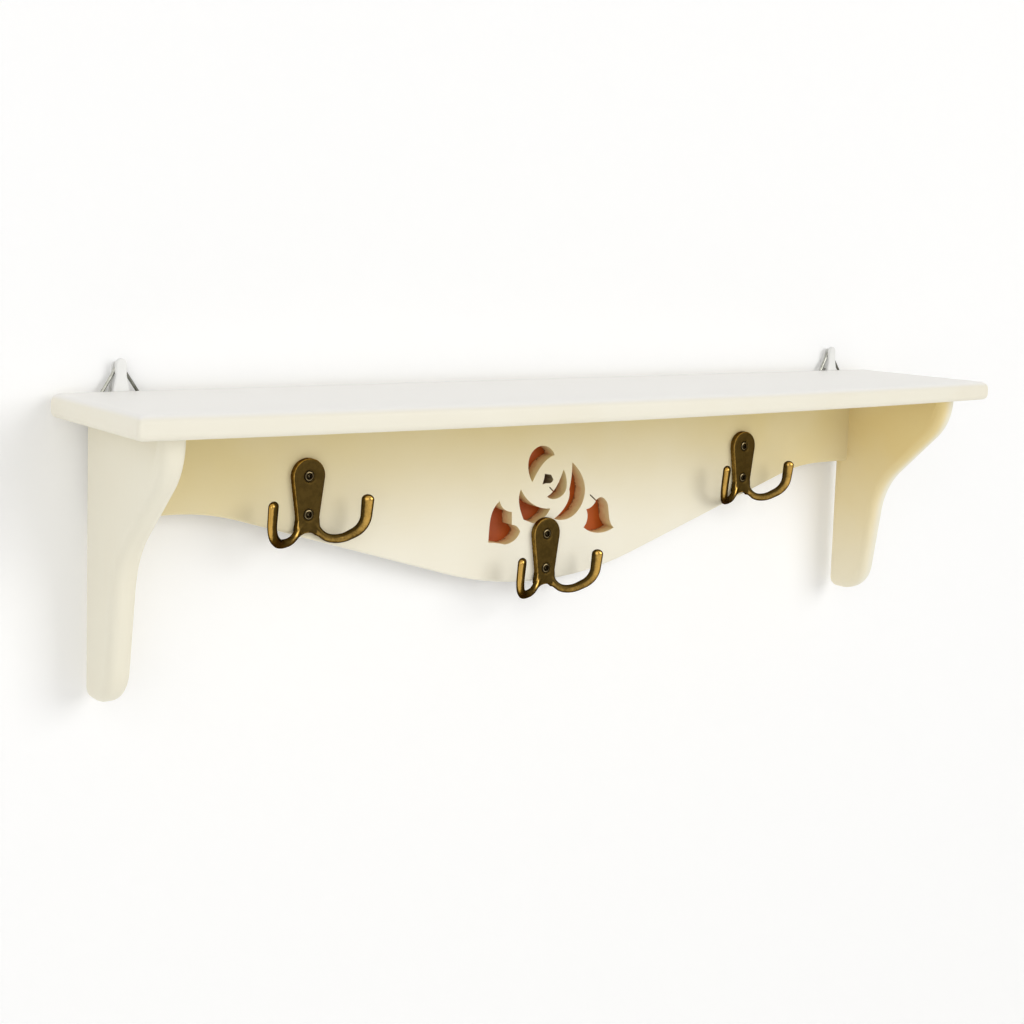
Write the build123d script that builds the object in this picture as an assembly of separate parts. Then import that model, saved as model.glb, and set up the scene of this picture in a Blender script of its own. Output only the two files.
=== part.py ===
from build123d import *
import math
import os

# Wall shelf with three double robe hooks, hung by two triangle rings on plastic wall hooks.
# Frame: X along the shelf, -Y out from the wall (the wall face is y = 0), +Z up.
# The origin is the centre of the four wall pins.  All sizes are in millimetres.

# ---- shelf board ----
shelf_length = 600.0
shelf_depth_ends = 105.0
shelf_bow = 13.0
shelf_thick = 12.0
shelf_round_top = 4.5
shelf_round_bottom = 3.5
wall_gap = 7.0

# ---- brackets: each leg's outline runs down, in along a diagonal, then down a taper ----
bracket_overhang = 17.3
bracket_thick = 13.0
bracket_depth = 92.6
bracket_drop = 142.3
bracket_nose_drop = 16.6
bracket_waist_depth = 39.9
bracket_waist_drop = 66.4
bracket_foot_depth = 28.6
bracket_shoulder_r = 37.0
bracket_waist_r = 50.0
bracket_toe_r = 21.0
bracket_heel_r = 6.0
bracket_edge_r = 5.0
bend_share = 0.97

# ---- apron with its wave-shaped lower edge ----
apron_thick = 12.0
apron_end_height = 51.0
wave_point_height = 120.7
wave_shoulder_x = 222.5
wave_shoulder_r = 131.0
wave_centre_r = 238.0
wave_run_out = 80.0
apron_edge_r = 1.5

# ---- pierced rose and the panel behind it ----
rose_drop = 67.0
rose_unit = 1.0
panel_thick = 2.0
panel_width = 118.0
panel_height = 70.0
panel_centre_x = 7.0
panel_play = 0.2
cut_margin = 1.0
kerf_width = 0.8
tack_inset = 5.0
tack_shank_r = 0.6
tack_length = 7.0
tack_head_r = 2.0
tack_head_thick = 0.8

# ---- robe hooks ----
hook_spacing = 163.8
side_hook_drop = 47.2
middle_hook_drop = 92.2
hook_screw_spacing = 20.9
hook_plate_thick = 4.0
hook_plate_top_r = 9.7
hook_plate_waist_r = 6.5
hook_plate_edge_r = 0.8
hook_fork_drop = 30.8
hook_fork_half_width = 7.6
hook_fork_flat = 1.4
hook_notch_height = 2.7
hook_taper_run_out = 2.0
prong_root_r = 1.95
prong_tip_deep_r = 3.5
prong_tip_thin_r = 2.4
prong_tip_dome = 3.0
prong_tip_turn = 60.0

# ---- corners of one prong's bends: sideways, out from the apron and down from the upper screw ----
prong_root_x = 3.5
prong_root_out = 2.0
prong_root_drop = 25.8
prong_heel_x = 9.4
prong_heel_out = 3.7
prong_heel_drop = 34.2
prong_sole_x = 18.9
prong_sole_out = 6.0
prong_sole_drop = 35.4
prong_rise_x = 28.5
prong_rise_out = 15.0
prong_rise_drop = 28.0
prong_end_x = 28.6
prong_end_out = 17.0
prong_end_drop = 12.6
prong_heel_bend_r = 10.5
prong_sole_bend_r = 11.0
prong_rise_bend_r = 13.5

# ---- screws and dowels ----
hook_screw_shank_r = 1.5
hook_screw_head_r = 3.0
hook_screw_length = 12.5
hook_screw_dome = 0.5
countersink_r = 3.7
recess_width = 0.9
recess_depth = 1.0
recess_span_share = 1.1
dowel_r = 3.0
dowel_length = 18.0
dowel_in_shelf = 8.0
dowel_in_bracket_side = 8.0
bracket_dowel_shares = (0.22, 0.72)
side_dowel_shares = (0.48, 0.8)
apron_dowel_r = 2.5
apron_dowel_spacing = 120.0
fit_clearance = 0.05

# ---- hangers on the back of the apron ----
hanger_inset = 6.2
ring_wire_r = 0.8
ring_half_width_at_top = 9.2
ring_slope = 0.64
ring_apex_r = 2.6
ring_base_r = 2.4
ring_lean = 4.0
ring_pivot_drop = 12.0
strap_thick = 0.9
strap_width = 10.0
strap_length = 24.0
strap_bore_play = 0.3
strap_foot_r = 4.0
strap_screw_drop = 24.0
strap_screw_head_r = 3.2
strap_screw_head_thick = 1.8
strap_screw_head_round = 1.1
strap_screw_shank_r = 1.5
strap_screw_length = 9.0

# ---- plastic wall hooks ----
wall_plate_thick = 1.6
wall_plate_width = 9.0
wall_plate_bottom = -3.0
wall_plate_chamfer = 2.0
wall_plate_shoulder = 3.0
wall_plate_neck_height = 9.5
wall_hook_top = 16.6
finger_width = 5.8
finger_root_width = 10.0
finger_waist_height = 8.0
finger_thick = 2.1
finger_gap = 3.0
finger_edge_r = 0.85
finger_above_plate = 1.5
finger_foot = -1.5
neck_half_width = 3.4
neck_foot = 1.5
neck_shoulder = 4.5
neck_play = 0.6
pin_r = 0.7
pin_low = 2.5
pin_spacing = 9.0
pin_length = 10.0
pin_collar_r = 1.0
pin_collar_length = 1.1

# ---- places worked out from the sizes above ----
top_z = -(pin_low + pin_spacing / 2)
under_z = top_z - shelf_thick
back_y = -wall_gap
apron_face_y = back_y - apron_thick
bracket_outer_x = shelf_length / 2 - bracket_overhang
bracket_inner_x = bracket_outer_x - bracket_thick
hanger_x = bracket_inner_x - hanger_inset
strap_outer_r = ring_wire_r + strap_bore_play + strap_thick
pivot_y = back_y + strap_outer_r
pivot_z = top_z - ring_pivot_drop
side_names = (("left", -1), ("right", 1))


def save(shape, name):
    shape.label = name
    export_step(shape, f"parts/{name}.step")


def along_y(radius, length, x, y_front, z):
    """Cylinder of this length, from y_front back towards the wall (+Y)."""
    return Pos(x, y_front + length / 2, z) * Rot(90, 0, 0) * Cylinder(radius, length)


def along_z(radius, length, x, y, z_low):
    return Pos(x, y, z_low + length / 2) * Cylinder(radius, length)


def along_x(radius, length, x_low, y, z):
    return Pos(x_low + length / 2, y, z) * Rot(0, 90, 0) * Cylinder(radius, length)


def group(solids):
    return Compound(children=list(solids))


def mirrored(shape):
    return mirror(shape, about=Plane.YZ)


def both_sides(side, shape):
    return shape if side > 0 else mirrored(shape)


# ---- dowels ----

def bracket_dowel_places():
    """Depths (y) of the two dowels between the shelf and one bracket."""
    return [back_y - bracket_depth * share for share in bracket_dowel_shares]


def bracket_dowels(extra=0.0):
    x = bracket_outer_x - bracket_thick / 2
    z_low = under_z - (dowel_length - dowel_in_shelf) - extra
    length = dowel_length + 2 * extra
    return [along_z(dowel_r + extra, length, x, y, z_low) for y in bracket_dowel_places()]


def side_dowels(extra=0.0):
    """Dowels between the end of the apron and the bracket."""
    y = back_y - apron_thick / 2
    x_low = bracket_inner_x - (dowel_length - dowel_in_bracket_side) - extra
    length = dowel_length + 2 * extra
    heights = [under_z - apron_end_height * share for share in side_dowel_shares]
    return [along_x(apron_dowel_r + extra, length, x_low, y, z) for z in heights]


def apron_dowels(extra=0.0):
    y = back_y - apron_thick / 2
    z_low = under_z - (dowel_length - dowel_in_shelf) - extra
    length = dowel_length + 2 * extra
    count = 2 * int((bracket_inner_x - 2 * dowel_length) / apron_dowel_spacing) + 1
    first = -apron_dowel_spacing * (count - 1) / 2
    xs = [first + apron_dowel_spacing * i for i in range(count)]
    return [along_z(apron_dowel_r + extra, length, x, y, z_low) for x in xs]


# ---- wooden parts ----

def shelf_board():
    half = shelf_length / 2
    front_y = back_y - shelf_depth_ends
    corners = [(-half, front_y), (-half, back_y), (half, back_y), (half, front_y)]
    rim = Polyline(*corners)
    bow = ThreePointArc(corners[3], (0, front_y - shelf_bow), corners[0])
    board = Pos(0, 0, under_z) * extrude(make_face([rim, bow]), shelf_thick)
    rims = [e for e in board.edges() if e.center().Y < back_y - 1 and abs(e.tangent_at(0.5).Z) < 0.5]
    upper = [e for e in rims if e.center().Z > top_z - 0.1]
    board = fillet(upper, shelf_round_top)
    rims = [e for e in board.edges() if e.center().Y < back_y - 1 and abs(e.tangent_at(0.5).Z) < 0.5]
    lower = [e for e in rims if e.center().Z < under_z + 0.1]
    board = fillet(lower, shelf_round_bottom)
    holes = apron_dowels(fit_clearance) + bracket_dowels(fit_clearance)
    holes += [mirrored(d) for d in bracket_dowels(fit_clearance)]
    return board - holes


def widest_bend(wanted, corner, before, after):
    """The wanted radius of a bend, or less where the two runs beside its corner are too short for it."""
    runs = [math.dist(before, corner), math.dist(corner, after)]
    turn = math.pi - math.acos(
        sum((a - c) * (b - c) for a, b, c in zip(before, after, corner)) / (runs[0] * runs[1]))
    return min(wanted, bend_share * min(runs) / math.tan(turn / 2))


def bracket():
    """Right-hand bracket; its outline is drawn as (distance out from the back, height)."""
    bottom = under_z - bracket_drop
    points = [
        (back_y - bracket_depth, under_z),
        (back_y - bracket_depth, under_z - bracket_nose_drop),
        (back_y - bracket_waist_depth, under_z - bracket_waist_drop),
        (back_y - bracket_foot_depth, bottom),
        (back_y, bottom),
        (back_y, bottom + bracket_drop / 2),
    ]
    wanted = [bracket_shoulder_r, bracket_waist_r, bracket_toe_r, bracket_heel_r]
    radii = [widest_bend(r, points[i], points[i - 1], points[i + 1]) for i, r in enumerate(wanted, 1)]
    front = FilletPolyline(*points, radius=radii)
    rest = Polyline(points[-1], (back_y, under_z), points[0])
    face = Plane.YZ * make_face([front, rest])
    body = Pos(bracket_inner_x, 0, 0) * extrude(face, bracket_thick, dir=(1, 0, 0))

    def is_rim(edge):
        flat = abs(edge.tangent_at(0.5).X) < 0.5
        in_front = edge.center().Y < back_y - 0.05
        return flat and in_front and edge.center().Z < under_z - 0.05

    body = fillet([e for e in body.edges() if is_rim(e)], bracket_edge_r)
    return body - bracket_dowels(fit_clearance) - side_dowels(fit_clearance)


def wave_profile():
    """Outline of the apron from the front: two slopes meet in a point, all three corners rounded."""
    high = under_z - apron_end_height
    low = under_z - wave_point_height
    end_x = wave_shoulder_x + wave_run_out
    points = [
        (-end_x, high), (-wave_shoulder_x, high), (0, low), (wave_shoulder_x, high), (end_x, high),
    ]
    lower = FilletPolyline(*points, radius=[wave_shoulder_r, wave_centre_r, wave_shoulder_r])
    upper = Polyline(points[-1], (end_x, under_z), (-end_x, under_z), points[0])
    outline = make_face([lower, upper])
    between_brackets = Pos(0, under_z) * Rectangle(2 * bracket_inner_x, 4 * wave_point_height)
    return outline & between_brackets


def outline_face(start, *runs):
    """Closed face from runs of points: one point a line, two an arc, more a curve."""
    edges = []
    here = start
    for run in runs:
        points = [here, *run]
        if len(points) == 2:
            edges.append(Line(*points))
        elif len(points) == 3:
            edges.append(ThreePointArc(*points))
        else:
            edges.append(Spline(*points))
        here = points[-1]
    return make_face(edges)


# The rose's openings, in x and height from the rose's centre, in rose units.

def upper_petal():
    tip = (-9.9, 6.4)
    return outline_face(
        tip,
        [(-13.4, 15.0), (-11.9, 23.1), (-5.9, 27.6), (1.1, 27.1), (6.3, 21.8)],
        [(-0.2, 18.8), (-5.7, 13.2), tip])


def bud():
    top = (-0.7, 10.8)
    return outline_face(
        top, [(4.1, 10.0)], [(5.9, 7.1)], [(4.7, 5.3), (3.1, 4.8)],
        [(0.0, 5.0)], [(-2.4, 4.4)], [(-1.3, 7.4), top])


def inner_petal():
    tip = (13.6, 12.6)
    return outline_face(
        tip,
        [(16.4, 5.3), (15.3, -1.3), (9.2, -4.9), (1.6, -3.2)],
        [(7.2, 0.9), (11.5, 7.6), tip])


def outer_petal():
    tip = (20.2, 16.7)
    return outline_face(
        tip,
        [(27.6, 8.9), (31.0, -0.4), (28.9, -9.7), (21.5, -16.8), (12.3, -18.3), (7.4, -17.2)],
        [(14.5, -11.9), (18.8, -4.2), (18.6, 0.1)],
        [(19.9, 7.0), tip])


def lower_petal():
    tip = (-18.4, 2.7)
    return outline_face(
        tip,
        [(-12.3, -4.7), (-5.6, -8.7), (4.4, -10.6)],
        [(1.9, -14.1), (-3.0, -17.2), (-8.2, -18.8)],
        [(-12.0, -17.3), (-15.7, -15.9)],
        [(-18.6, -9.2), (-19.7, -2.5), tip])


def left_leaf():
    tip = (-33.8, -3.4)
    return outline_face(
        tip,
        [(-32.4, -6.4), (-30.5, -8.4)],
        [(-27.6, -9.9), (-24.6, -10.7)],
        [(-24.3, -18.3)],
        [(-20.6, -19.6), (-18.0, -23.0)],
        [(-20.6, -26.7), (-25.5, -29.3), (-28.9, -29.8)],
        [(-35.0, -28.4), (-41.3, -27.6)],
        [(-40.9, -19.1), (-39.0, -9.6), tip])


def right_leaf():
    shoulder = (40.2, -8.3)
    return outline_face(
        shoulder,
        [(44.9, -6.6), (49.3, -10.2), (50.9, -17.0), (52.2, -22.2), (55.4, -26.4)],
        [(44.0, -28.8), (35.0, -26.8), (30.9, -24.4)],
        [(33.8, -18.5), (32.6, -13.2)],
        [(36.6, -12.0), shoulder])


def saw_kerf(start, end):
    """Narrow saw cut between two points of the fretwork."""
    dx, dy = end[0] - start[0], end[1] - start[1]
    angle = math.degrees(math.atan2(dy, dx))
    middle = Pos((start[0] + end[0]) / 2, (start[1] + end[1]) / 2)
    return middle * Rot(0, 0, angle) * Rectangle(math.hypot(dx, dy), kerf_width / rose_unit)


def rose_openings():
    faces = [upper_petal(), bud(), inner_petal(), outer_petal(), lower_petal()]
    faces += [left_leaf(), right_leaf()]
    faces += [saw_kerf((3.2, 2.5), (6.6, -0.6)), saw_kerf((35.2, -4.3), (40.6, -8.6))]
    return faces


def standing(face, y_front, depth):
    """A face drawn in x and height, stood up at y_front and given depth towards the wall."""
    upright = Plane(origin=(0, y_front, 0), x_dir=(1, 0, 0), z_dir=(0, -1, 0))
    return extrude(upright * face, depth, dir=(0, 1, 0))


def panel_centre_z():
    return top_z - rose_drop


def panel_solid(play=0.0):
    size = (panel_width + play, panel_thick, panel_height + play)
    return Pos(panel_centre_x, back_y - panel_thick / 2, panel_centre_z()) * Box(*size)


def tack_places():
    dx = panel_width / 2 - tack_inset
    dz = panel_height / 2 - tack_inset
    return [(panel_centre_x + i * dx, panel_centre_z() + j * dz) for i in (-1, 1) for j in (-1, 1)]


def tack_holes():
    depth = tack_length + fit_clearance
    radius = tack_shank_r + fit_clearance
    return [along_y(radius, depth, x, back_y - depth, z) for x, z in tack_places()]


def hook_places():
    side_z = top_z - side_hook_drop
    middle_z = top_z - middle_hook_drop
    return (("left", -hook_spacing, side_z), ("middle", 0.0, middle_z), ("right", hook_spacing, side_z))


def pierced_apron():
    body = standing(wave_profile(), apron_face_y, apron_thick)
    low = [e for e in body.edges() if abs(e.center().Y - apron_face_y) < 0.01
           and e.center().Z < under_z - 0.1 and abs(e.center().X) < bracket_inner_x - 0.1]
    body = fillet(low, apron_edge_r)
    rose = [Pos(0, panel_centre_z()) * scale(f, rose_unit) for f in rose_openings()]
    front, depth = apron_face_y - cut_margin, apron_thick + 2 * cut_margin
    body -= [standing(f, front, depth) for f in rose]
    body -= panel_solid(panel_play)
    body -= tack_holes()
    for _, x, z in hook_places():
        body -= [Pos(x, apron_face_y, z) * s for s in screw_shanks(fit_clearance)]
    for x in (-hanger_x, hanger_x):
        body -= strap_screw_shank(x, fit_clearance)
    body -= apron_dowels(fit_clearance)
    body -= side_dowels(fit_clearance)
    body -= [mirrored(d) for d in side_dowels(fit_clearance)]
    return body


def backing_panel():
    return panel_solid() - tack_holes()


def backing_tacks():
    tacks = []
    for x, z in tack_places():
        shank = along_y(tack_shank_r, tack_length, x, back_y - tack_length, z)
        tacks.append(shank + along_y(tack_head_r, tack_head_thick, x, back_y, z))
    return group(tacks)


# ---- robe hook, drawn about its upper screw with the apron's face at y = 0 ----

def screw_heights():
    return 0.0, -hook_screw_spacing


def screw_shanks(extra=0.0):
    """Screw shanks from inside the plate to their points, about the upper screw."""
    radius = hook_screw_shank_r + extra
    front = -hook_plate_thick + hook_screw_head_r - hook_screw_shank_r
    depth = hook_screw_length - hook_plate_thick
    return [along_y(radius, depth - front + extra, 0, front, z) for z in screw_heights()]


def tangent_taper(r_top, r_low, drop):
    """Two circles, one below the other, with the straight sides that touch both."""
    lean = math.asin((r_top - r_low) / drop)
    c, s = math.cos(lean), math.sin(lean)
    sides = [(r_top * c, -r_top * s), (r_low * c, -drop - r_low * s)]
    corners = sides + [(-x, z) for x, z in reversed(sides)]
    taper = make_face(Polyline(*corners, close=True))
    return Circle(r_top) + taper + Pos(0, -drop) * Circle(r_low)


def fork_web():
    """Where the two prongs leave the plate, with the rounded notch between them."""
    w = hook_fork_half_width
    foot = hook_fork_drop + hook_notch_height
    top_w = hook_plate_waist_r
    waist = -hook_screw_spacing - hook_taper_run_out / 2
    knee = -hook_fork_drop + hook_fork_flat
    toe = w - hook_fork_flat
    side = Polyline((-toe, -foot), (-w, knee), (-top_w, waist), (top_w, waist), (w, knee), (toe, -foot))
    notch = ThreePointArc((toe, -foot), (0, -hook_fork_drop), (-toe, -foot))
    return make_face([side, notch])


def hook_plate():
    drop = hook_screw_spacing + hook_taper_run_out
    outline = tangent_taper(hook_plate_top_r, hook_plate_waist_r, drop) + fork_web()
    plate = standing(outline, -hook_plate_thick, hook_plate_thick)
    rim = [e for e in plate.edges() if abs(e.center().Y + hook_plate_thick) < 0.01]
    return fillet(rim, hook_plate_edge_r)


def prong_plane(path, share):
    """Section plane along a prong, its X along the deep side of the flattened tip."""
    turn = math.radians(prong_tip_turn)
    along = path % share
    deep = along.cross(Vector(math.cos(turn), math.sin(turn), 0))
    return Plane(origin=path @ share, x_dir=deep, z_dir=along)


def prong():
    """Right-hand prong: round where it leaves the plate, flatter and deeper towards its domed end."""
    end = (prong_end_x, -prong_end_out, -prong_end_drop)
    path = FilletPolyline(
        (prong_root_x, -prong_root_out, -prong_root_drop),
        (prong_heel_x, -prong_heel_out, -prong_heel_drop),
        (prong_sole_x, -prong_sole_out, -prong_sole_drop),
        (prong_rise_x, -prong_rise_out, -prong_rise_drop),
        end, radius=[prong_heel_bend_r, prong_sole_bend_r, prong_rise_bend_r])
    tip = Ellipse(prong_tip_deep_r, prong_tip_thin_r)
    sections = [prong_plane(path, 0) * Circle(prong_root_r), prong_plane(path, 1) * tip]
    rod = sweep(sections, path=path, multisection=True)
    cap = scale(Sphere(1), (prong_tip_deep_r, prong_tip_thin_r, prong_tip_dome))
    return rod + prong_plane(path, 1) * cap


def robe_hook():
    right = prong()
    body = hook_plate() + right + mirrored(right)
    sink_depth = countersink_r - hook_screw_shank_r
    for z in screw_heights():
        sink = Cone(hook_screw_shank_r, countersink_r, sink_depth)
        sink = Pos(0, -hook_plate_thick + sink_depth / 2, z) * Rot(90, 0, 0) * sink
        body -= sink
        body -= along_y(hook_screw_shank_r + fit_clearance, hook_plate_thick * 2, 0, -hook_plate_thick, z)
    return body


def dome(radius, height):
    """Shallow cap of a ball on the plane y = 0, bulging towards -Y."""
    rim = (radius, 0)
    crown = (0, height)
    ball = (radius ** 2 + height ** 2) / (2 * height)
    middle = (radius / 2, math.sqrt(ball ** 2 - radius ** 2 / 4) - ball + height)
    half = make_face([ThreePointArc(rim, middle, crown), Line(crown, (0, 0)), Line((0, 0), rim)])
    return Rot(90, 0, 0) * revolve(Plane.XZ * half, Axis.Z)


def hook_screw(z):
    """Raised countersunk screw with a cross recess, sunk a little into the plate's countersink."""
    head_depth = hook_screw_head_r - hook_screw_shank_r
    head_front = -hook_plate_thick + countersink_r - hook_screw_head_r
    head = Cone(hook_screw_shank_r, hook_screw_head_r, head_depth)
    head = Pos(0, head_front + head_depth / 2, z) * Rot(90, 0, 0) * head
    head += Pos(0, head_front, z) * dome(hook_screw_head_r, hook_screw_dome)
    shank_front = head_front + head_depth
    point_y = hook_screw_length - hook_plate_thick
    shank = along_y(hook_screw_shank_r, point_y - shank_front, 0, shank_front, z)
    screw = head + shank
    crown = head_front - hook_screw_dome
    for turn in (45, 135):
        bar = Rot(0, turn, 0) * Box(hook_screw_head_r * recess_span_share, recess_depth * 2, recess_width)
        screw -= Pos(0, crown, z) * bar
    return screw


# ---- hangers ----

def strap_screw_shank(x, extra=0.0):
    front = back_y - strap_screw_length
    length = strap_screw_length + strap_thick + extra
    return along_y(strap_screw_shank_r + extra, length, x, front - extra, top_z - strap_screw_drop)


def hanger_strap(x):
    """Flat strap screwed to the apron's back, curled over into a loop for the ring's base bar."""
    bore_r = ring_wire_r + strap_bore_play
    plate_low = pivot_z - strap_length
    size = (strap_width, strap_thick, pivot_z - plate_low)
    plate = Pos(x, back_y + strap_thick / 2, (pivot_z + plate_low) / 2) * Box(*size)
    foot = [e for e in plate.edges() if abs(e.tangent_at(0.5).Y) > 0.5 and e.center().Z < plate_low + 0.1]
    plate = fillet(foot, strap_foot_r)
    loop = along_x(strap_outer_r, strap_width, x - strap_width / 2, pivot_y, pivot_z)
    bore = along_x(bore_r, strap_width * 2, x - strap_width, pivot_y, pivot_z)
    return (plate + loop) - bore - strap_screw_shank(x, fit_clearance)


def hanger_screw(x):
    z = top_z - strap_screw_drop
    seat_y = back_y + strap_thick
    head = along_y(strap_screw_head_r, strap_screw_head_thick, x, seat_y, z)
    head = fillet(head.edges().sort_by(Axis.Y)[-1], strap_screw_head_round)
    front = back_y - strap_screw_length
    shank = along_y(strap_screw_shank_r, seat_y - front, x, front, z)
    screw = head + shank
    head_top = seat_y + strap_screw_head_thick
    for turn in (0, 90):
        bar = Rot(0, turn, 0) * Box(strap_screw_head_r * recess_span_share, recess_depth * 2, recess_width)
        screw -= Pos(x, head_top, z) * bar
    return screw


def ring_apex_height():
    """Height above the pivot at which the ring's two legs would meet."""
    return ring_half_width_at_top / ring_slope + ring_pivot_drop


def hanger_ring(x):
    """Closed triangle of round wire, leaning a little towards the wall."""
    apex = ring_apex_height()
    half = apex * ring_slope
    corners = [(half, 0), (0, apex), (-half, 0)]
    path = FilletPolyline(*corners, radius=[ring_base_r, ring_apex_r, ring_base_r], close=True)
    lean = Plane(origin=(x, pivot_y, pivot_z), x_dir=(1, 0, 0), z_dir=(0, -1, 0))
    path = lean * path
    section = Plane(origin=path @ 0, z_dir=path % 0) * Circle(ring_wire_r)
    ring = sweep(section, path=path)
    return ring.rotate(Axis((x, pivot_y, pivot_z), (1, 0, 0)), -ring_lean)


# ---- wall hooks ----

def neck_top():
    """Centre height and radius of the neck's rounded top, under the ring's apex."""
    half_angle = math.atan(ring_slope)
    lean = math.radians(ring_lean)
    centre = ring_apex_height() - ring_apex_r / math.sin(half_angle)
    return pivot_z + centre * math.cos(lean), ring_apex_r - ring_wire_r - neck_play


def wall_plate_outline():
    """Bell-shaped base plate: wide at the foot, as narrow as the finger at the top."""
    wide = wall_plate_width / 2
    slim = finger_width / 2
    cut = wall_plate_chamfer
    foot = top_z + wall_plate_bottom
    shoulder = top_z + wall_plate_shoulder
    waist = top_z + wall_plate_neck_height
    tip = top_z + wall_hook_top - finger_above_plate - slim
    side = [(wide, shoulder), (slim, waist), (slim, tip)]
    left = [(-x, z) for x, z in reversed(side)]
    return make_face([
        Polyline((wide - cut, foot), (wide, foot + cut), *side),
        ThreePointArc(side[-1], (0, tip + slim), left[0]),
        Polyline(*left, (-wide, foot + cut), (-wide + cut, foot)),
        Line((-wide + cut, foot), (wide - cut, foot))])


def finger_outline():
    """Bell shape: a straight finger with a rounded tip, flaring to a wide root."""
    slim = finger_width / 2
    wide = finger_root_width / 2
    low = top_z + finger_foot
    waist = top_z + finger_waist_height
    high = top_z + wall_hook_top - slim
    side = [(wide, low), (slim, waist), (slim, high)]
    left = [(-x, z) for x, z in reversed(side)]
    return make_face([
        Polyline(*side), ThreePointArc(side[-1], (0, high + slim), left[0]),
        Polyline(*left), Line(left[-1], side[0])])


def neck_outline():
    centre, radius = neck_top()
    low = top_z + neck_foot
    mid = top_z + neck_shoulder
    body = make_face(Polyline((-neck_half_width, low), (neck_half_width, low),
                              (neck_half_width, mid), (radius, centre), (-radius, centre),
                              (-neck_half_width, mid), close=True))
    return body + Pos(0, centre) * Circle(radius)


def wall_pins(x, extra=0.0):
    """Pins with a collar held in the wall hook's plate; the shanks stand out behind it."""
    collar_length = pin_collar_length + extra
    pins = []
    for z in (top_z + pin_low, top_z + pin_low + pin_spacing):
        collar = along_y(pin_collar_r + extra, collar_length, x, -collar_length, z)
        pins.append(collar + along_y(pin_r, pin_length, x, 0, z))
    return pins


def wall_hook(x):
    plate = standing(wall_plate_outline(), -wall_plate_thick, wall_plate_thick)
    finger_back = -wall_plate_thick - finger_gap
    finger = standing(finger_outline(), finger_back - finger_thick, finger_thick)
    rims = [e for e in finger.edges() if abs(e.tangent_at(0.5).Y) < 0.5
            and e.center().Y < finger_back - finger_thick + 0.01]
    finger = fillet(rims, finger_edge_r)
    neck = standing(neck_outline(), finger_back, finger_gap)
    return Pos(x, 0, 0) * (plate + neck + finger) - wall_pins(x, fit_clearance)


def build():
    os.makedirs("parts", exist_ok=True)
    save(shelf_board(), "shelf_board")
    save(pierced_apron(), "pierced_apron")
    save(backing_panel(), "rose_backing")
    save(backing_tacks(), "backing_tacks")
    save(group(apron_dowels()), "shelf_apron_dowels")
    for side, sign in side_names:
        save(both_sides(sign, bracket()), f"bracket_{side}")
        save(group(both_sides(sign, d) for d in bracket_dowels()), f"bracket_dowels_{side}")
        save(group(both_sides(sign, d) for d in side_dowels()), f"apron_end_dowels_{side}")
    hook = robe_hook()
    for side, x, z in hook_places():
        place = Pos(x, apron_face_y, z)
        save(place * hook, f"robe_hook_{side}")
        save(group(place * hook_screw(h) for h in screw_heights()), f"hook_screws_{side}")
    for side, sign in side_names:
        x = sign * hanger_x
        save(hanger_strap(x), f"hanger_strap_{side}")
        save(hanger_screw(x), f"hanger_screw_{side}")
        save(hanger_ring(x), f"hanger_ring_{side}")
        save(wall_hook(x), f"wall_hook_{side}")
        save(group(wall_pins(x)), f"wall_hook_pins_{side}")


build()
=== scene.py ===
import math
import bpy
from mathutils import Matrix, Vector


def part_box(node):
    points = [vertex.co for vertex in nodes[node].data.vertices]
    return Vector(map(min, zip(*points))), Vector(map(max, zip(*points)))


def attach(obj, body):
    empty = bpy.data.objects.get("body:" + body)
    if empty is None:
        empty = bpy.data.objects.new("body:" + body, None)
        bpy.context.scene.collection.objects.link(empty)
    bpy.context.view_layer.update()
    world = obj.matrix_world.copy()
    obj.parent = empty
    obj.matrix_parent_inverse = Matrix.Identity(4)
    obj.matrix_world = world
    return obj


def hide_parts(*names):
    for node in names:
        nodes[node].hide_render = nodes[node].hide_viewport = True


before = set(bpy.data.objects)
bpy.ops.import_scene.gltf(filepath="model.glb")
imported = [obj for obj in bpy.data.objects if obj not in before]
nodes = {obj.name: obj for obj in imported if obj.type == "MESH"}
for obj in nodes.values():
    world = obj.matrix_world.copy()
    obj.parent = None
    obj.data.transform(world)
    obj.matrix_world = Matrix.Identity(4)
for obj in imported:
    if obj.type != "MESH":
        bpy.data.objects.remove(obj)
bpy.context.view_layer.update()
bpy.ops.object.select_all(action="DESELECT")


# camera: yaw, pitch and roll in degrees

cameraSetup = {
    "place": (-0.57284, -0.74613, 0.06946), "yaw": 36.883, "pitch": -5.444, "roll": 1.846,
    "lens": 54.57, "sensor": 36.0, "shiftY": -0.11026, "nearest": 0.01,
}


def addCamera(setup):
    yaw, pitch, roll = (math.radians(setup[k]) for k in ("yaw", "pitch", "roll"))
    forward = Vector((math.sin(yaw) * math.cos(pitch), math.cos(yaw) * math.cos(pitch), math.sin(pitch)))
    flat = Vector((math.cos(yaw), -math.sin(yaw), 0.0))
    upright = flat.cross(forward)
    across = math.cos(roll) * flat + math.sin(roll) * upright
    up = math.cos(roll) * upright - math.sin(roll) * flat
    bpy.ops.object.camera_add(location=(0, 0, 0))
    camera = bpy.context.object
    turn = Matrix((across, up, -forward)).transposed()
    camera.matrix_world = Matrix.Translation(setup["place"]) @ turn.to_4x4()
    camera.data.lens = setup["lens"]
    camera.data.sensor_width = setup["sensor"]
    camera.data.sensor_fit = "HORIZONTAL"
    camera.data.shift_y = setup["shiftY"]
    camera.data.clip_start = setup["nearest"]
    bpy.context.scene.camera = camera


addCamera(cameraSetup)
print("camera placed")


# shader helpers: a socket takes a constant or the output of another node

def feed(tree, socket, value):
    if isinstance(value, bpy.types.NodeSocket):
        tree.links.new(value, socket)
    else:
        socket.default_value = value


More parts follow.
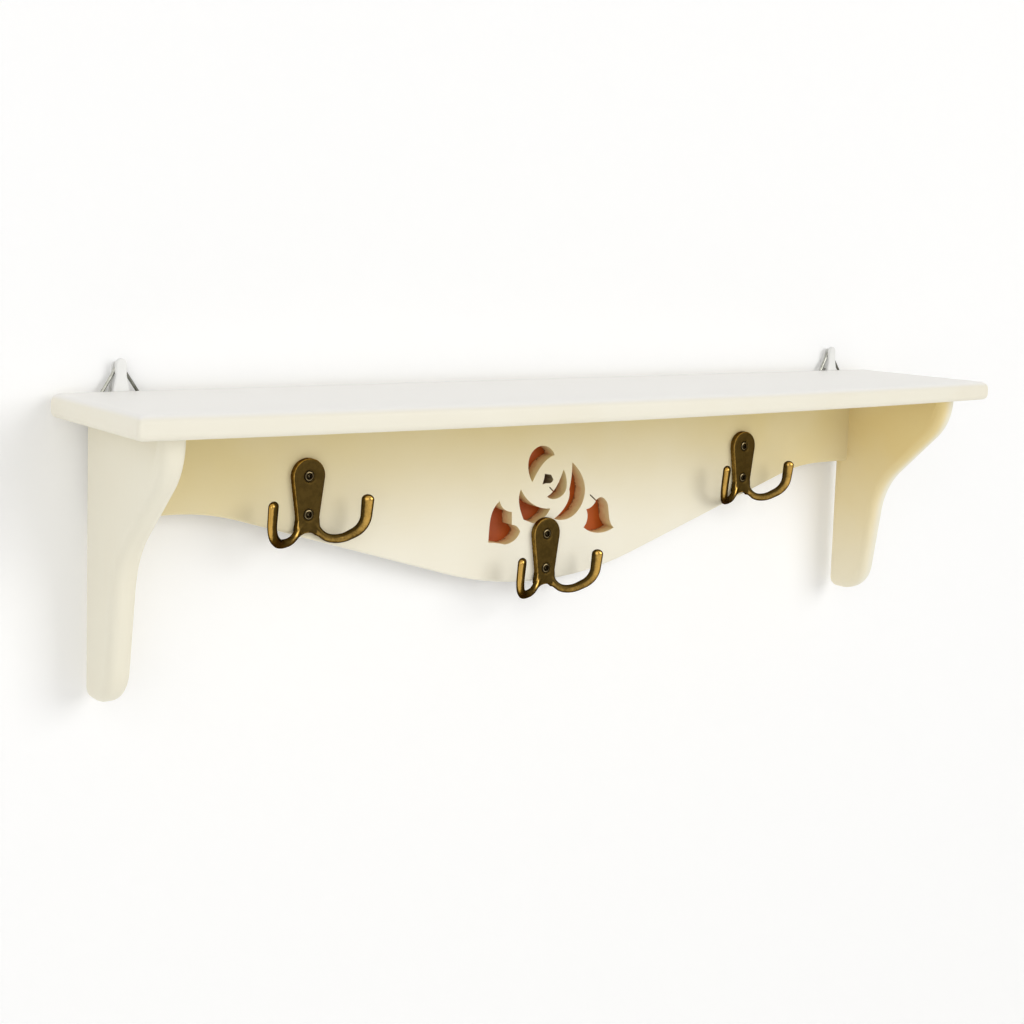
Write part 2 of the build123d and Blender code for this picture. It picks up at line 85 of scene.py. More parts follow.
def addNode(tree, kind, settings=None, **inputs):
    node = tree.nodes.new(kind)
    for key, value in (settings or {}).items():
        setattr(node, key, value)
    for key, value in inputs.items():
        byNumber = key[0] == "i" and key[1:].isdigit()
        feed(tree, node.inputs[int(key[1:]) if byNumber else key.replace("_", " ")], value)
    return node


def calc(tree, operation, first, second=0.0, clamp=False):
    settings = {"operation": operation, "use_clamp": clamp}
    return addNode(tree, "ShaderNodeMath", settings, i0=first, i1=second).outputs[0]


def plus(tree, first, second, clamp=False):
    return calc(tree, "ADD", first, second, clamp)


def minus(tree, first, second):
    return calc(tree, "SUBTRACT", first, second)


def times(tree, product, *others):
    for other in others:
        product = calc(tree, "MULTIPLY", product, other)
    return product


def distanceFrom(tree, value, middle):
    return calc(tree, "ABSOLUTE", minus(tree, value, middle))


def blendColour(tree, share, first, second, mode="MIX"):
    settings = {"data_type": "RGBA", "blend_type": mode}
    return addNode(tree, "ShaderNodeMix", settings, i0=share, i6=first, i7=second).outputs[2]


def fade(tree, value, low, high, toLow=0.0, toHigh=1.0):
    settings = {"interpolation_type": "SMOOTHSTEP"}
    node = addNode(tree, "ShaderNodeMapRange", settings, i0=value, i1=low, i2=high, i3=toLow, i4=toHigh)
    return node.outputs[0]


def noise(tree, place, scale, detail, roughness):
    node = addNode(tree, "ShaderNodeTexNoise", {"noise_dimensions": "3D"}, Vector=place, Scale=scale,
                   Detail=detail, Roughness=roughness)
    return node.outputs[0]


def stretched(tree, place, amounts):
    return addNode(tree, "ShaderNodeVectorMath", {"operation": "MULTIPLY"}, i0=place, i1=amounts).outputs[0]


def objectPlace(tree):
    return addNode(tree, "ShaderNodeTexCoord").outputs["Object"]


def partsOf(tree, vector):
    return addNode(tree, "ShaderNodeSeparateXYZ", i0=vector).outputs


def facingOf(tree):
    return partsOf(tree, addNode(tree, "ShaderNodeNewGeometry").outputs["Normal"])


socketKinds = {"colour": "NodeSocketColor", "value": "NodeSocketFloat", "vector": "NodeSocketVector"}


def startGroup(name, inputs, outputs):
    group = bpy.data.node_groups.new(name, "ShaderNodeTree")
    for label, kind, value in inputs:
        socket = group.interface.new_socket(name=label, in_out="INPUT", socket_type=socketKinds[kind])
        socket.default_value = value
    for label, kind in outputs:
        group.interface.new_socket(name=label, in_out="OUTPUT", socket_type=socketKinds[kind])
    return group, group.nodes.new("NodeGroupInput").outputs, group.nodes.new("NodeGroupOutput").inputs


def useGroup(tree, group, **values):
    node = tree.nodes.new("ShaderNodeGroup")
    node.node_tree = group
    for key, value in values.items():
        feed(tree, node.inputs[key], value)
    return node.outputs


def startMaterial(name, **constants):
    material = bpy.data.materials.new(name)
    material.use_nodes = True
    tree = material.node_tree
    shader = tree.nodes["Principled BSDF"]
    for key, value in constants.items():
        shader.inputs[key.replace("_", " ")].default_value = value
    return material, tree, shader


# every finish ends in a colour, a roughness and a height for its bump

def dress(tree, shader, colour, rough, height, strength, depth):
    feed(tree, shader.inputs["Base Color"], colour)
    feed(tree, shader.inputs["Roughness"], rough)
    bump = addNode(tree, "ShaderNodeBump", Strength=strength, Distance=depth, Height=height)
    tree.links.new(bump.outputs[0], shader.inputs["Normal"])


def rgb(red, green, blue):
    def linear(v):
        v /= 255.0
        return v / 12.92 if v <= 0.04045 else ((v + 0.055) / 1.055) ** 2.4
    return (linear(red), linear(green), linear(blue), 1.0)


# brushed paint: faint strokes along the board, soft patches of warmer tone, a trace of grain under the film.
# Each noise is its scale, detail and roughness, and each fade its two ends.

filmShape = {
    "strokes": (420.0, 3.0, 0.55), "fibre": (1500.0, 2.0, 0.6), "patches": (9.0, 3.0, 0.55),
    "mottle": (60.0, 4.0, 0.6), "patchFade": (0.42, 0.68), "strokeFade": (0.5, 0.75), "streakShare": 0.35,
    "middleX": 0.004, "brackets": (0.2755, 0.2665), "ends": (0.10, 0.23), "endsReach": 0.055,
    "shadeTop": -0.008, "endsTop": 0.03, "upwardReflectionFade": (0.35, 0.95), "rough": 0.40, "roughSpread": 0.16,
    "strokeHeight": 0.7, "fibreHeight": 0.3, "mottleHeight": 0.4, "depth": 0.0004,
}


def makePaintFilm(shape):
    group, given, made = startGroup(
        "paintFilm",
        [("Paint", "colour", rgb(240, 236, 222)), ("Warm", "colour", rgb(226, 214, 186)),
         ("Sheltered", "colour", rgb(228, 212, 165)), ("Shelter", "value", 0.0), ("Reach", "value", -0.125),
         ("Chalk", "colour", rgb(243, 241, 237)), ("Along", "vector", (1.0, 1.0, 1.0)),
         ("Patches", "value", 0.3), ("Strokes", "value", 0.3)],
        [("Colour", "colour"), ("Roughness", "value"), ("Height", "value")])
    place = objectPlace(group)
    combed = stretched(group, place, given["Along"])
    strokes = noise(group, combed, *shape["strokes"])
    fibre = noise(group, combed, *shape["fibre"])
    patches = noise(group, place, *shape["patches"])
    mottle = noise(group, place, *shape["mottle"])
    warmth = times(group, fade(group, patches, *shape["patchFade"]), given["Patches"])
    colour = blendColour(group, warmth, given["Paint"], given["Warm"])
    streak = times(group, fade(group, strokes, *shape["strokeFade"]), given["Strokes"], shape["streakShare"])
    colour = blendColour(group, streak, colour, given["Warm"])
    # painted shade: a warmer, darker tint under the shelf, which stops short of the brackets
    parts = partsOf(group, place)
    ends = fade(group, distanceFrom(group, parts[0], 0.0), *shape["ends"])
    reach = minus(group, given["Reach"], times(group, ends, shape["endsReach"]))
    top = minus(group, shape["shadeTop"], times(group, ends, shape["endsTop"]))
    between = fade(group, distanceFrom(group, parts[0], shape["middleX"]), *shape["brackets"])
    share = times(group, fade(group, parts[2], reach, top), between, given["Shelter"])
    share = plus(group, share, times(group, share, minus(group, patches, 0.5)), True)
    colour = blendColour(group, share, colour, given["Sheltered"])
    # painted reflection: faces that look up are paler
    upward = facingOf(group)[2]
    colour = blendColour(group, fade(group, upward, *shape["upwardReflectionFade"]), colour, given["Chalk"])
    rough = plus(group, shape["rough"], times(group, mottle, shape["roughSpread"]))
    height = times(group, strokes, shape["strokeHeight"])
    height = plus(group, height, times(group, fibre, shape["fibreHeight"]))
    height = plus(group, height, times(group, mottle, shape["mottleHeight"]))
    for label, value in (("Colour", colour), ("Roughness", rough), ("Height", height)):
        group.links.new(value, made[label])
    return group


paintFilm = makePaintFilm(filmShape)


# the sawn walls of the openings are warmer in tone than the faces

def paintCutWalls(tree, colour, look):
    place = objectPlace(tree)
    x, y, z = partsOf(tree, place)
    (left, bottom), (right, top) = look["cutRegion"]
    share = times(tree, calc(tree, "LESS_THAN", distanceFrom(tree, facingOf(tree)[1], 0.0), look["cutSlope"]),
                  calc(tree, "GREATER_THAN", x, left), calc(tree, "LESS_THAN", x, right),
                  calc(tree, "GREATER_THAN", z, bottom), calc(tree, "LESS_THAN", z, top))
    # the walls turn to terracotta close to the panel
    grime = noise(tree, place, *look["grime"])
    depth = plus(tree, y, times(tree, minus(tree, grime, 0.5), look["grimeReach"]))
    wall = blendColour(tree, fade(tree, depth, *look["deepFade"]), look["cutWall"], look["cutDeep"])
    wall = blendColour(tree, fade(tree, depth, *look["lineFade"]), wall, look["cutLine"])
    # painted shade: the smallest openings are darker
    level = stretched(tree, place, (1.0, 0.0, 1.0))
    for pocketX, pocketZ, radius in look["pockets"]:
        gap = addNode(tree, "ShaderNodeVectorMath", {"operation": "DISTANCE"}, i0=level,
                      i1=(pocketX, 0.0, pocketZ)).outputs[1]
        pocketShadeShare = fade(tree, gap, radius, radius * look["pocketCore"], 0.0, look["pocketShare"])
        wall = blendColour(tree, pocketShadeShare, wall, look["pocketShade"])
    return blendColour(tree, share, colour, wall)


def paintedWood(name, look):
    material, tree, shader = startMaterial(name)
    film = useGroup(tree, paintFilm, Paint=look["paint"], Warm=look["warm"], Along=look["along"],
                    Patches=look["patches"], Strokes=look["strokes"], Sheltered=look["underShelfShade"],
                    Shelter=look["underShelfShadeShare"], Reach=look["reach"], Chalk=look["upwardReflection"])
    colour = paintCutWalls(tree, film["Colour"], look) if "cutWall" in look else film["Colour"]
    dress(tree, shader, colour, film["Roughness"], film["Height"], look["bump"], filmShape["depth"])
    return material


creamPaint = {
    "paint": rgb(245, 240, 223), "warm": rgb(235, 225, 198), "along": (0.06, 1.0, 1.0),
    "patches": 0.22, "strokes": 0.2, "bump": 0.12, "underShelfShade": rgb(232, 214, 160), "underShelfShadeShare": 0.0,
    "reach": -0.125, "upwardReflection": rgb(250, 248, 243),
}
# the upright and pierced parts carry the painted shade under the shelf: its tone, how far down it reaches and
# how strong it is
creamUpright = dict(creamPaint, paint=rgb(243, 238, 219), along=(1.0, 1.0, 0.06), underShelfShadeShare=1.0,
                    underShelfShade=rgb(238, 216, 154), reach=-0.165)
creamPierced = dict(creamPaint, underShelfShadeShare=0.9, underShelfShade=rgb(232, 213, 152), reach=-0.112)
creamPierced.update({
    "cutWall": rgb(238, 222, 172), "cutDeep": rgb(214, 144, 84), "cutLine": rgb(112, 58, 28),
    "cutRegion": ((-0.046, -0.110), (0.060, -0.040)), "cutSlope": 0.35,
    "grime": (300.0, 3.0, 0.6), "grimeReach": 0.008,
    "deepFade": (-0.0165, -0.0085, 0.0, 0.6), "lineFade": (-0.0104, -0.0094, 0.0, 0.7),
    "pockets": ((0.0017, -0.0665, 0.0050), (0.0049, -0.0730, 0.0022), (0.0379, -0.0805, 0.0036)),
    "pocketCore": 0.75, "pocketShare": 0.8, "pocketShade": rgb(104, 78, 50),
})
terracottaPaint = {
    "paint": rgb(190, 88, 12), "warm": rgb(156, 62, 8), "along": (0.3, 1.0, 1.0),
    "patches": 0.8, "strokes": 0.5, "bump": 0.35, "underShelfShade": rgb(156, 62, 8), "underShelfShadeShare": 0.0,
    "reach": -0.125, "upwardReflection": rgb(190, 88, 12),
}


# bare turned wood for the dowels

def bareWood(name, look):
    material, tree, shader = startMaterial(name)
    grain = noise(tree, stretched(tree, objectPlace(tree), look["along"]), *look["grain"])
    colour = blendColour(tree, fade(tree, grain, *look["grainFade"]), look["pale"], look["dark"])
    dress(tree, shader, colour, look["rough"], grain, look["bump"], look["depth"])
    return material


beech = {
    "pale": rgb(214, 178, 130), "dark": rgb(176, 132, 84), "along": (1.0, 1.0, 0.15),
    "grain": (700.0, 4.0, 0.6), "grainFade": (0.35, 0.7), "rough": 0.6, "bump": 0.3, "depth": 0.0003,
}


# antique brass: dark patina on the flats, worn bright on the rims, and a painted highlight in a band along
# each prong

patinaShape = {
    "cloud": (260.0, 4.0, 0.6), "cloudShare": 0.6, "speck": (3.0, 0.6), "speckShare": 0.4, "spread": 0.7,
    "brightFade": (0.2, 0.8), "stain": (330.0, 5.0, 0.65), "stainFade": (0.4, 0.62), "stainShare": 0.4,
    "stainTone": (0.5, 0.5, 0.42, 1.0), "roughDark": 0.38, "roughBright": 0.15, "roughSpeck": 0.10,
    "bump": 0.12, "depth": 0.0002,
}


def makePatina(shape):
    group, given, made = startGroup(
        "patinaWearAndHighlight",
        [("Bright", "colour", rgb(190, 142, 62)), ("Patina", "colour", rgb(74, 60, 32)),
         ("Rub", "value", 0.5), ("Speckle", "value", 900.0)],
        [("Colour", "colour"), ("Roughness", "value"), ("Height", "value")])
    place = objectPlace(group)
    cloud = noise(group, place, *shape["cloud"])
    speck = noise(group, place, given["Speckle"], *shape["speck"])
    uneven = plus(group, times(group, cloud, shape["cloudShare"]), times(group, speck, shape["speckShare"]))
    brightLevel = plus(group, given["Rub"], times(group, minus(group, uneven, 0.5), shape["spread"]))
    share = fade(group, brightLevel, *shape["brightFade"])
    blotch = fade(group, noise(group, place, *shape["stain"]), *shape["stainFade"])
    stain = times(group, blotch, shape["stainShare"])
    patina = blendColour(group, stain, given["Patina"], shape["stainTone"], "MULTIPLY")
    colour = blendColour(group, share, patina, given["Bright"])
    rough = plus(group, fade(group, share, 0.0, 1.0, shape["roughDark"], shape["roughBright"]),
                 times(group, speck, shape["roughSpeck"]))
    for label, value in (("Colour", colour), ("Roughness", rough), ("Height", uneven)):
        group.links.new(value, made[label])
    return group


patinaWearAndHighlight = makePatina(patinaShape)


def wornAndHighlitMetal(name, look, wearAndHighlightOf):
    material, tree, shader = startMaterial(name, Metallic=1.0, Specular_Tint=look["rim"])
    film = useGroup(tree, patinaWearAndHighlight, Bright=look["bright"], Patina=look["patina"], Rub=wearAndHighlightOf(tree, look))
    dress(tree, shader, film["Colour"], film["Roughness"], film["Height"], patinaShape["bump"],
          patinaShape["depth"])
    return material


# the hooks carry their wear and their painted highlight as an attribute of the mesh

def hookWearAndHighlight(tree, look):
    return addNode(tree, "ShaderNodeAttribute", {"attribute_name": look["wearAndHighlight"]}).outputs["Fac"]


hookBrass = {"bright": rgb(218, 174, 90), "patina": rgb(86, 68, 32), "rim": rgb(116, 88, 42), "wearAndHighlight": "wearAndHighlight"}


# the screws keep a dull ring and a rubbed middle, and dark patina fills the recess between them; a painted
# highlight brightens the centre of the recess

def screwWearAndHighlight(tree, look):
    x, y, z = partsOf(tree, objectPlace(tree))
    front = fade(tree, facingOf(tree)[1], *look["front"])
    raised = fade(tree, y, *look["raised"])
    # the six screws are mirror images in three planes, so folding space brings their axes together
    across = minus(tree, distanceFrom(tree, distanceFrom(tree, x, 0.0), look["halfX"]), look["halfX"])
    height = distanceFrom(tree, distanceFrom(tree, z, look["middleZ"]), look["pairZ"])
    height = minus(tree, height, look["halfZ"])
    radius = calc(tree, "SQRT", plus(tree, times(tree, across, across), times(tree, height, height)))
    ring = times(tree, fade(tree, radius, *look["ringIn"]), fade(tree, radius, *look["ringOut"]))
    brightBand = times(tree, front, raised, ring, look["brightLevel"])
    # painted highlight: the very centre of each screw is brighter
    return calc(tree, "MAXIMUM", brightBand, fade(tree, radius, *look["middleHighlight"]))


screwBrass = {
    "bright": rgb(132, 118, 88), "patina": rgb(46, 36, 20), "rim": rgb(80, 62, 40),
    "front": (-0.75, -0.95), "raised": (-0.0219, -0.0222), "brightLevel": 0.75,
    "halfX": 0.0819, "middleZ": -0.08715, "pairZ": 0.0225, "halfZ": 0.01045,
    "ringIn": (0.0017, 0.0022), "ringOut": (0.0027, 0.0023), "middleHighlight": (0.0010, 0.0004, 0.0, 0.7),
}


# plated steel with faint drawing marks, and painted shade on one side

def platedSteel(name, look):
    material, tree, shader = startMaterial(name, Metallic=1.0, Specular_Tint=look["rim"])
    place = objectPlace(tree)
    cloud = noise(tree, place, *look["cloud"])
    colour = blendColour(tree, fade(tree, cloud, *look["cloudFade"]), look["pale"], look["dull"])
    # painted shade: darker where it faces right, and all round on the rings' right-hand legs
    facing = facingOf(tree)
    across = partsOf(tree, place)[0]
    fromRing = minus(tree, across, times(tree, calc(tree, "SIGN", across), look["ringX"]))
    leg = fade(tree, fromRing, *look["legFade"], 0.0, look["legShade"])
    side = plus(tree, plus(tree, facing[0], times(tree, facing[2], look["lean"])), leg)
    sideShade = fade(tree, side, *look["sideFade"], 0.0, look["sideShade"])
    colour = blendColour(tree, sideShade, colour, look["dark"])
    rough = plus(tree, look["rough"], times(tree, cloud, look["roughSpread"]))
    dress(tree, shader, colour, rough, cloud, look["bump"], look["depth"])
    return material


plating = {
    "cloud": (500.0, 4.0, 0.6), "cloudFade": (0.35, 0.7), "ringX": 0.2635, "legFade": (0.001, 0.003),
    "legShade": 0.0, "lean": -0.3, "sideFade": (0.0, 0.55), "roughSpread": 0.15, "bump": 0.05, "depth": 0.0001,
}
zincSteel = dict(plating, pale=rgb(214, 214, 203), dull=rgb(188, 188, 177), dark=rgb(62, 62, 52),
                 sideShade=0.4, rim=rgb(56, 56, 50), rough=0.22)
ringSteel = dict(zincSteel, sideShade=0.8, legShade=0.9)
pinSteel = dict(plating, pale=rgb(150, 150, 150), dull=rgb(110, 110, 112), dark=rgb(70, 70, 70),
                sideShade=0.2, rim=rgb(140, 140, 140), rough=0.3)


# moulded white plastic

def mouldedPlastic(name, look):
    material, tree, shader = startMaterial(name, Coat_Weight=look["coat"], Coat_Roughness=look["coatRough"])
    cloud = noise(tree, objectPlace(tree), *look["cloud"])
    colour = blendColour(tree, cloud, look["light"], look["shade"])
    rough = plus(tree, look["rough"], times(tree, cloud, look["roughSpread"]))
    dress(tree, shader, colour, rough, cloud, look["bump"], look["depth"])
    return material


whitePlastic = {
    "light": rgb(244, 244, 241), "shade": rgb(232, 232, 229), "coat": 0.1, "coatRough": 0.3,
    "cloud": (220.0, 3.0, 0.5), "rough": 0.38, "roughSpread": 0.12, "bump": 0.08, "depth": 0.0002,
}

finishes = {
    "board": paintedWood("creamPaintAlong", creamPaint),
    "upright": paintedWood("creamPaintUpright", creamUpright),
    "pierced": paintedWood("creamPaintPierced", creamPierced),
    "terracotta": paintedWood("terracottaPaint", terracottaPaint),
    "beech": bareWood("beechDowel", beech),
    "brass": wornAndHighlitMetal("antiqueBrass", hookBrass, hookWearAndHighlight),
    "screw": wornAndHighlitMetal("antiquedScrew", screwBrass, screwWearAndHighlight),
    "zinc": platedSteel("zincSteel", zincSteel),
    "ring": platedSteel("ringSteel", ringSteel),
    "pin": platedSteel("pinSteel", pinSteel),
    "plastic": mouldedPlastic("whitePlastic", whitePlastic),
}


# helpers for new pieces: a copy of a solid with the seams between its faces joined, modifiers, smooth faces

copySetup = {"seamWidth": 0.000002, "sharpAngle": 40.0}


def copySolid(nodeName, newName):
    bpy.ops.object.select_all(action="DESELECT")
    piece = nodes[nodeName].copy()
    piece.data = nodes[nodeName].data.copy()
    piece.parent = None
    piece.name = newName
    bpy.context.collection.objects.link(piece)
    piece.select_set(True)
    bpy.context.view_layer.objects.active = piece
    bpy.ops.object.mode_set(mode="EDIT")
    bpy.ops.mesh.select_all(action="SELECT")
    bpy.ops.mesh.remove_doubles(threshold=copySetup["seamWidth"])
    bpy.ops.object.mode_set(mode="OBJECT")
    return piece


def applyModifier(piece, kind, **values):
    modifier = piece.modifiers.new("step", kind)
    for key, value in values.items():
        setattr(modifier, key, value)
    bpy.ops.object.modifier_apply(modifier=modifier.name)


def smoothWithFlats(piece):
    bpy.ops.object.shade_smooth_by_angle(angle=math.radians(copySetup["sharpAngle"]))
    applyModifier(piece, "WEIGHTED_NORMAL", keep_sharp=True)


# cast robe hooks: the fork is blended and the edges softened, as a casting comes out of its mould.
# Places are measured from the upper screw, and each pair is where a change starts and where it ends.

castHook = {
    "grain": 0.00034, "smoothing": 0.5, "softening": 4, "forkSoftening": 30, "screwSpacing": 0.0209,
    "forkTop": (-0.0235, -0.0265), "forkFoot": (-0.0375, -0.0345), "forkWidth": (0.0105, 0.0075),
    "forkFront": (-0.0192, -0.0200), "leastBlend": 0.01, "sinkRadius": 0.0041, "sinkY": -0.0234,
    "plateHalfWidth": 0.0105, "plateFoot": -0.0235, "faceWear": 0.10, "rimWear": 0.46,
    "rimTurn": (0.97, 0.80), "rimFront": (0.1, 0.5), "rimLeast": 0.55,
    "bendX": 0.0175, "bendZ": -0.0195, "outShare": 0.2, "highlightSide": (-0.44, -0.78, 0.05),
    "bendRun": (-0.034, -0.022), "tipHighlight": 0.25, "tipRun": (-0.020, -0.011),
    "leftProng": {"wearAndHighlight": 0.92, "brightBand": (0.60, 1.0), "bendShare": 1.0},
    "rightProng": {"wearAndHighlight": 0.70, "brightBand": (0.72, 1.0), "bendShare": 0.64},
    "webTurn": (0.90, 0.98), "webWidth": (0.0085, 0.0050), "webFoot": (-0.0325, -0.0305),
}


def easeBetween(value, low, high):
    share = min(1.0, max(0.0, (value - low) / (high - low)))
    return share * share * (3.0 - 2.0 * share)


def atLeast(least, share):
    return least + (1.0 - least) * share


def wearAndHighlightAt(local, normal, setup):
    fromScrew = min(math.hypot(local.x, local.z), math.hypot(local.x, local.z + setup["screwSpacing"]))
    if fromScrew < setup["sinkRadius"] and local.y > setup["sinkY"]:
        return 0.0
    if abs(local.x) < setup["plateHalfWidth"] and local.z > setup["plateFoot"]:
        # the plate: a dark flat face and a rubbed rim
        rim = easeBetween(-normal.y, *setup["rimTurn"])
        rim *= atLeast(setup["rimLeast"], easeBetween(-normal.y, *setup["rimFront"]))
        return setup["faceWear"] + setup["rimWear"] * rim
    # painted highlight: each prong has a bright band along one fixed side, wider on the left prong than on
    # the right
    bend = Vector((math.copysign(setup["bendX"], local.x), local.y, setup["bendZ"]))
    outward = (local - bend).normalized() * setup["outShare"] + Vector(setup["highlightSide"])
    prong = setup["leftProng"] if local.x < 0.0 else setup["rightProng"]
    brightBand = easeBetween(normal.dot(outward.normalized()), *prong["brightBand"])
    wearAndHighlight = prong["wearAndHighlight"] * brightBand * atLeast(prong["bendShare"], easeBetween(local.z, *setup["bendRun"]))
    wearAndHighlight += setup["tipHighlight"] * brightBand * easeBetween(local.z, *setup["tipRun"])
    # the flat web between the prongs stays as dark as the plate
    web = easeBetween(-normal.y, *setup["webTurn"]) * easeBetween(abs(local.x), *setup["webWidth"])
    web *= easeBetween(local.z, *setup["webFoot"])
    return wearAndHighlight + web * (setup["faceWear"] - wearAndHighlight)


def makeCastHook(side, setup):
    low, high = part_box("hook_screws_" + side)
    upperScrew = Vector(((low.x + high.x) / 2, 0.0, (low.z + high.z + setup["screwSpacing"]) / 2))
    piece = copySolid("robe_hook_" + side, "castHook" + side.capitalize())
    applyModifier(piece, "REMESH", mode="VOXEL", voxel_size=setup["grain"])
    applyModifier(piece, "SMOOTH", factor=setup["smoothing"], iterations=setup["softening"])
    # the fork flows from the plate into the prongs, so it is smoothed further
    fork = piece.vertex_groups.new(name="fork")
    for vertex in piece.data.vertices:
        local = vertex.co - upperScrew
        share = easeBetween(local.z, *setup["forkTop"]) * easeBetween(local.z, *setup["forkFoot"])
        share *= easeBetween(abs(local.x), *setup["forkWidth"]) * easeBetween(local.y, *setup["forkFront"])
        if share > setup["leastBlend"]:
            fork.add([vertex.index], share, "REPLACE")
    applyModifier(piece, "SMOOTH", factor=setup["smoothing"], iterations=setup["forkSoftening"],
                  vertex_group=fork.name)
    bpy.ops.object.shade_smooth()
    wearAndHighlight = piece.data.attributes.new(hookBrass["wearAndHighlight"], "FLOAT", "POINT")
    for vertex in piece.data.vertices:
        wearAndHighlight.data[vertex.index].value = wearAndHighlightAt(vertex.co - upperScrew, vertex.normal, setup)
    piece.data.materials.clear()
    piece.data.materials.append(finishes["brass"])
    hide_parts("robe_hook_" + side)
    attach(piece, "shelf")
    return piece


# the shelf: a board with a bowed front, its upper rim rounded more than its lower one

shelfShape = {
    "bow": 0.013, "cuts": 48, "upperRound": 0.0045, "lowerRound": 0.0035, "cornerRound": 0.0018,
    "segments": 6, "longEdge": 0.1, "frontGap": 0.01, "slack": 0.001,
}


def subdivideLength(mesh, setup):
    for part in (*mesh.vertices, *mesh.edges, *mesh.polygons):
        part.select = False
    for edge in mesh.edges:
        first, second = (mesh.vertices[i] for i in edge.vertices)
        if abs(first.co.x - second.co.x) > setup["longEdge"]:
            edge.select = first.select = second.select = True
    # edge mode keeps the short edges between the chosen ones out of the selection
    bpy.context.tool_settings.mesh_select_mode = (False, True, False)
    bpy.ops.object.mode_set(mode="EDIT")
    bpy.ops.mesh.subdivide(number_cuts=setup["cuts"])
    bpy.ops.mesh.select_mode(type="VERT")
    bpy.ops.object.mode_set(mode="OBJECT")


def roundOf(first, second, low, high, setup):
    middle = (first + second) / 2
    atEnd = abs(middle.x) > high.x - setup["slack"]
    inFront = max(first.y, second.y) < high.y - setup["frontGap"]
    if abs(first.z - second.z) > setup["slack"]:
        return setup["cornerRound"] if atEnd and inFront else 0.0
    if atEnd or inFront:
        return setup["upperRound"] if middle.z > (low.z + high.z) / 2 else setup["lowerRound"]
    return 0.0


def makeBowedShelf(setup):
    low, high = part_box("shelf_board")
    bpy.ops.object.select_all(action="DESELECT")
    bpy.ops.mesh.primitive_cube_add(size=1.0, location=(low + high) / 2)
    board = bpy.context.object
    board.name = "bowedShelf"
    board.scale = high - low
    bpy.ops.object.transform_apply(location=True, rotation=False, scale=True)
    mesh = board.data
    subdivideLength(mesh, setup)
    # the front follows an arc that is deepest in the middle
    radius = (high.x ** 2 + setup["bow"] ** 2) / (2 * setup["bow"])
    for vertex in mesh.vertices:
        if vertex.co.y < high.y - setup["frontGap"]:
            vertex.co.y = low.y + radius - math.sqrt(radius ** 2 - vertex.co.x ** 2)
    # the widest rounding has a weight of one
    weights = mesh.attributes.new("bevel_weight_edge", "FLOAT", "EDGE")
    for edge in mesh.edges:
        first, second = (mesh.vertices[i].co for i in edge.vertices)
        weights.data[edge.index].value = roundOf(first, second, low, high, setup) / setup["upperRound"]
    applyModifier(board, "BEVEL", limit_method="WEIGHT", width=setup["upperRound"],
                  segments=setup["segments"], use_clamp_overlap=False)
    smoothWithFlats(board)
    board.data.materials.append(finishes["board"])
    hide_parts("shelf_board")
    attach(board, "shelf")
    return board


# the brackets keep their outlines, with their rounded edges shaded as one smooth surface

def makeSmoothedBoard(nodeName, newName, finish):
    piece = copySolid(nodeName, newName)
    smoothWithFlats(piece)
    piece.data.materials.clear()
    piece.data.materials.append(finishes[finish])
    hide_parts(nodeName)
    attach(piece, "shelf")
    return piece


# finishes by the start of a part's name; the first that fits is taken

finishOf = (
    ("shelf_board", "board"), ("pierced_apron", "pierced"), ("rose_backing", "terracotta"),
    ("backing_tacks", "zinc"), ("bracket_dowels", "beech"), ("bracket", "upright"),
    ("shelf_apron_dowels", "beech"), ("apron_end_dowels", "beech"), ("robe_hook", "brass"),
    ("hook_screws", "screw"), ("hanger_ring", "ring"), ("hanger", "zinc"), ("wall_hook_pins", "pin"),
    ("wall_hook", "plastic"),
)
for name, node in nodes.items():
    finish = next(finish for start, finish in finishOf if name.startswith(start))
    for materialSlot in node.material_slots:
        materialSlot.material = finishes[finish]
print("finishes set on", len(nodes), "parts")
shelf = makeBowedShelf(shelfShape)
print(shelf.name, len(shelf.data.polygons), "faces")
for nodeName, newName in (("bracket_left", "leftBracket"), ("bracket_right", "rightBracket")):
    bracket = makeSmoothedBoard(nodeName, newName, "upright")
    print(bracket.name, len(bracket.data.polygons), "faces")
for side in ("left", "middle", "right"):
    hook = makeCastHook(side, castHook)
    print(hook.name, len(hook.data.polygons), "faces")


# stage: a pale wall that can be seen through from behind, and a pale floor well below

stageSetup = {
    "size": 6.0, "wallTop": 1.6, "floorZ": -1.1, "wallTone": rgb(252, 252, 252), "wallGlow": 0.06,
    "wallRough": 0.9, "floorTone": rgb(245, 244, 242), "floorRough": 0.8,
}


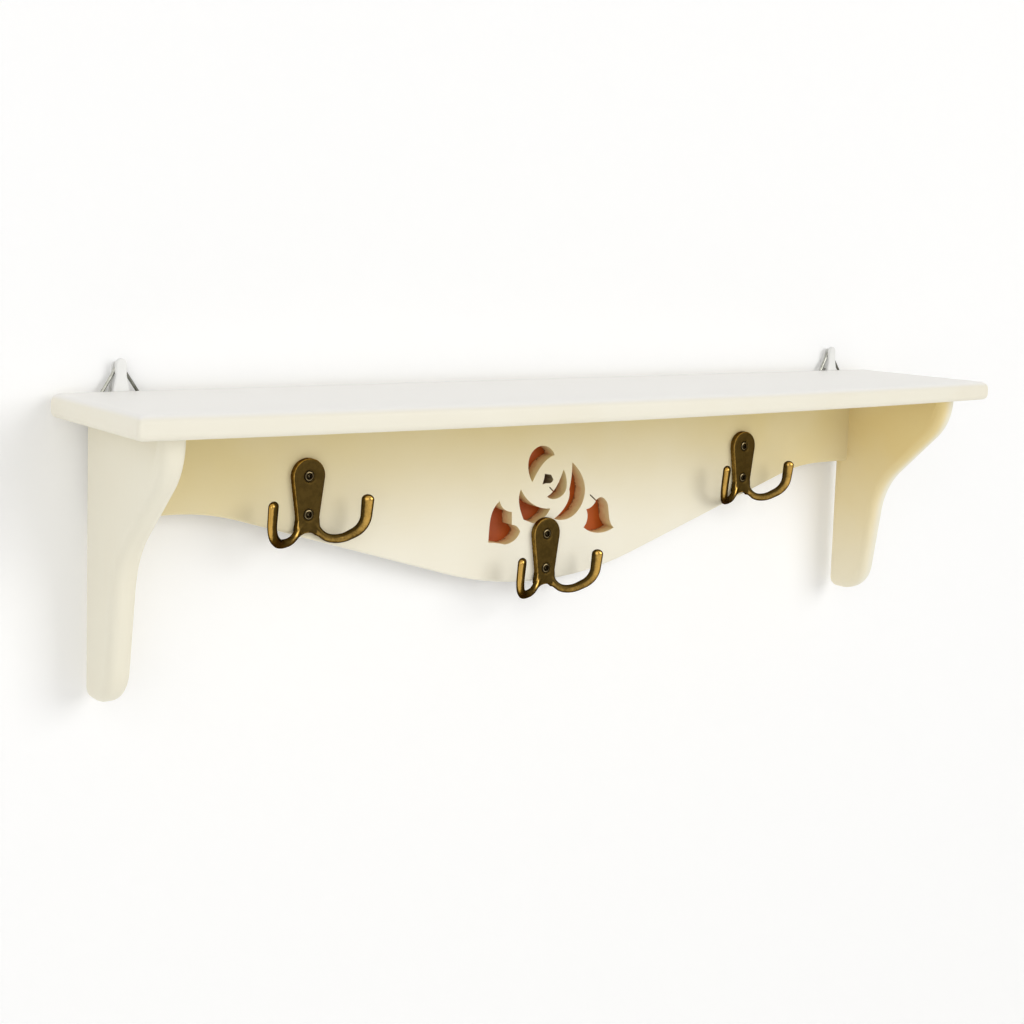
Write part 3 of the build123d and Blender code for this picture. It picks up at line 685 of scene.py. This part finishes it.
def addStage(setup):
    half = setup["size"] / 2
    bpy.ops.mesh.primitive_plane_add(size=1.0, location=(0, 0, 0))
    wall = bpy.context.object
    wall.name = "wallBackdrop"
    corners = [(x, 0, z) for z in (setup["floorZ"], setup["wallTop"]) for x in (-half, half)]
    for vertex, corner in zip(wall.data.vertices, corners):
        vertex.co = corner
    material, tree, shader = startMaterial("wallPaint", Roughness=setup["wallRough"])
    shader.inputs["Base Color"].default_value = setup["wallTone"]
    shader.inputs["Emission Color"].default_value = setup["wallTone"]
    shader.inputs["Emission Strength"].default_value = setup["wallGlow"]
    clear = addNode(tree, "ShaderNodeBsdfTransparent")
    behind = addNode(tree, "ShaderNodeNewGeometry").outputs["Backfacing"]
    mix = addNode(tree, "ShaderNodeMixShader", i0=behind, i1=shader.outputs[0], i2=clear.outputs[0])
    tree.links.new(mix.outputs[0], tree.nodes["Material Output"].inputs[0])
    wall.data.materials.append(material)
    bpy.ops.mesh.primitive_plane_add(size=setup["size"] * 2, location=(0, 0, setup["floorZ"]))
    floor = bpy.context.object
    floor.name = "paleFloor"
    material, tree, shader = startMaterial("floorPaint", Roughness=setup["floorRough"])
    shader.inputs["Base Color"].default_value = setup["floorTone"]
    floor.data.materials.append(material)


addStage(stageSetup)


# light: a key from the right, a weaker fill from the left and an even room

lightSetup = {
    "keyLight": {"place": (1.45, -2.85, 1.0), "size": 2.0, "power": 40.0, "tone": (1.0, 0.995, 0.98)},
    "fillLight": {"place": (-1.5, -1.6, 0.5), "size": 2.0, "power": 12.2, "tone": (0.99, 0.995, 1.0)},
}
roomSetup = {"aim": (0.0, -0.03, -0.05), "tone": (1.0, 1.0, 1.0, 1.0), "power": 0.44}


def addLight(name, setup):
    bpy.ops.object.light_add(type="AREA", location=setup["place"])
    light = bpy.context.object
    light.name = name
    light.data.shape = "SQUARE"
    light.data.size = setup["size"]
    light.data.energy = setup["power"]
    light.data.color = setup["tone"]
    aim = Vector(roomSetup["aim"]) - light.location
    light.rotation_euler = aim.to_track_quat("-Z", "Y").to_euler()


def addRoom(setup):
    world = bpy.data.worlds.new("softRoom")
    bpy.context.scene.world = world
    world.use_nodes = True
    background = world.node_tree.nodes["Background"]
    background.inputs[0].default_value = setup["tone"]
    background.inputs[1].default_value = setup["power"]
    bpy.context.scene.view_settings.view_transform = "Standard"


for name, setup in lightSetup.items():
    addLight(name, setup)
addRoom(roomSetup)
print("stage and lights set")
